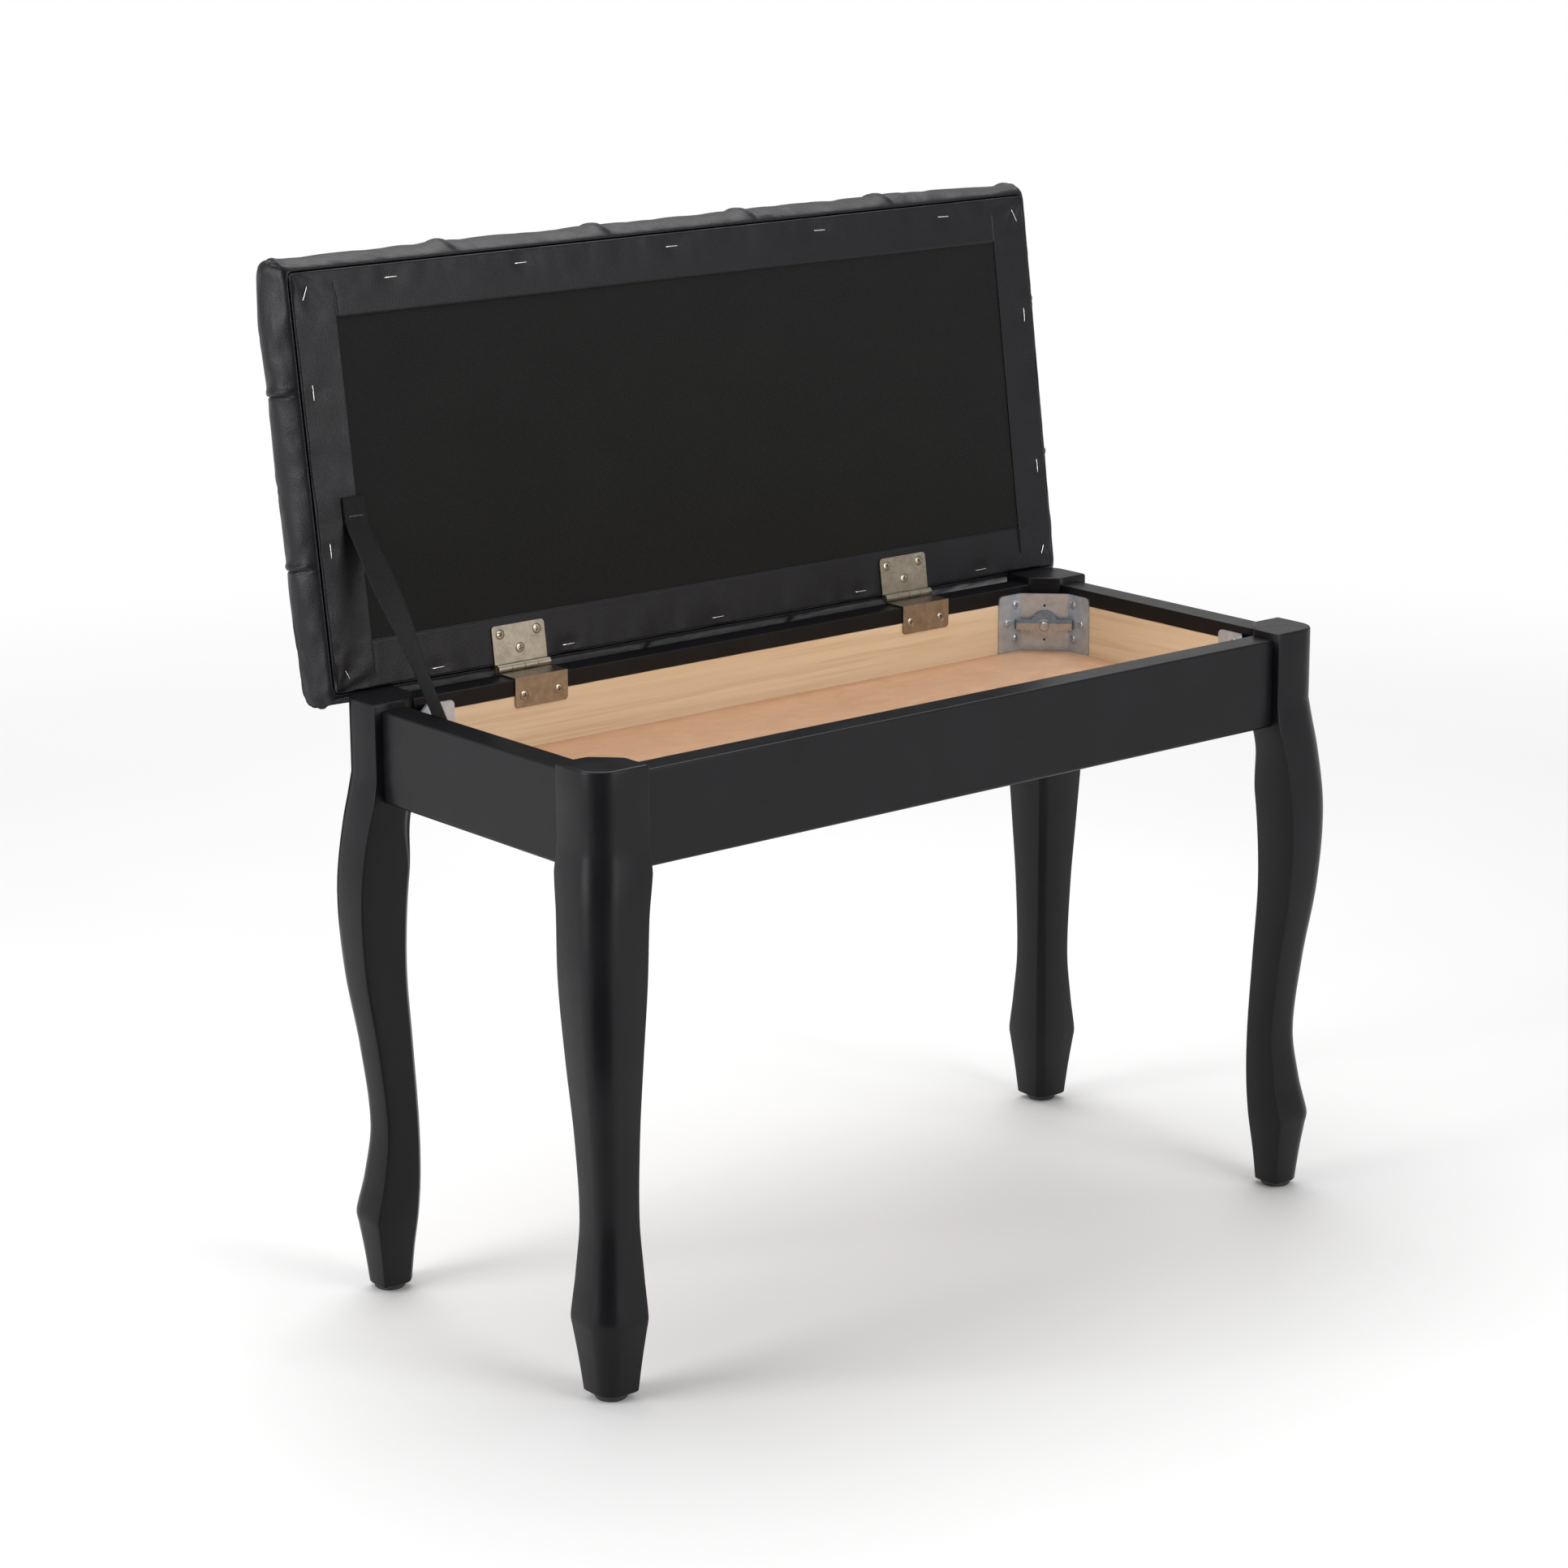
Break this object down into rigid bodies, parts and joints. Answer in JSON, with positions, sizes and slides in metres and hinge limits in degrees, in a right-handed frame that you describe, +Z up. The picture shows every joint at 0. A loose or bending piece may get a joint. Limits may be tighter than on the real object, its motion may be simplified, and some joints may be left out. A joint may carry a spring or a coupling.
{
  "type": "piano bench",
  "caption": "Piano bench with a hinged, tufted imitation leather lid over a shallow music storage box, on four curved black wooden legs.",
  "frame": {"origin": "on the floor, under the middle of the outline of the bench with its lid open", "axes": "+X to the right of someone sitting down at the bench's front, +Y to the back, where the hinges are, +Z up"},
  "size_m": [0.733, 0.3988, 0.7666],
  "materials": {
    "black_paint": "satin",
    "hardboard": "matte",
    "plywood": "matte",
    "black_plastic": "matte",
    "steel_wire": "polished",
    "zinc_steel": "satin",
    "nickel_steel": "satin",
    "foam": "matte",
    "black_leather": "satin",
    "dust_cloth": "matte",
    "webbing": "matte"
  },
  "bodies": {
    "frame": {"leg_front_left": "black_paint", "leg_front_right": "black_paint", "leg_back_left": "black_paint", "leg_back_right": "black_paint", "glide_front_left": "black_plastic", "glide_front_right": "black_plastic", "glide_back_left": "black_plastic", "glide_back_right": "black_plastic", "glide_nails": "steel_wire", "rail_front": "black_paint", "rail_back": "black_paint", "rail_left": "black_paint", "rail_right": "black_paint", "floor_panel": "hardboard", "bracket_front_left": "zinc_steel", "bracket_front_right": "zinc_steel", "bracket_back_left": "zinc_steel", "bracket_back_right": "zinc_steel", "hanger_bolt_front_left": "zinc_steel", "hanger_bolt_front_right": "zinc_steel", "hanger_bolt_back_left": "zinc_steel", "hanger_bolt_back_right": "zinc_steel", "wing_nut_front_left": "zinc_steel", "wing_nut_front_right": "zinc_steel", "wing_nut_back_left": "zinc_steel", "wing_nut_back_right": "zinc_steel", "bracket_screws": "zinc_steel", "hinge_left_lower_leaf": "nickel_steel", "hinge_left_pin": "nickel_steel", "hinge_right_lower_leaf": "nickel_steel", "hinge_right_pin": "nickel_steel", "hinge_rail_screws": "nickel_steel", "strap": "webbing", "strap_rail_staple": "steel_wire"},
    "lid": {"hinge_left_upper_leaf": "nickel_steel", "hinge_right_upper_leaf": "nickel_steel", "hinge_lid_screws": "nickel_steel", "lid_board": "plywood", "lid_foam": "foam", "lid_cover": "black_leather", "lid_dust_cover": "dust_cloth", "lid_staples": "steel_wire", "lid_buttons": "black_leather", "strap_lid_end": "webbing", "strap_lid_staple": "steel_wire"}
  },
  "joints": [
    {"name": "lid_hinge", "type": "hinge", "parent": "frame", "child": "lid", "pos_m": [0, 0.11256, 0.4542], "axis": [1, 0, 0], "range_deg": [0, 98], "deforming": ["strap"]}
  ]
}
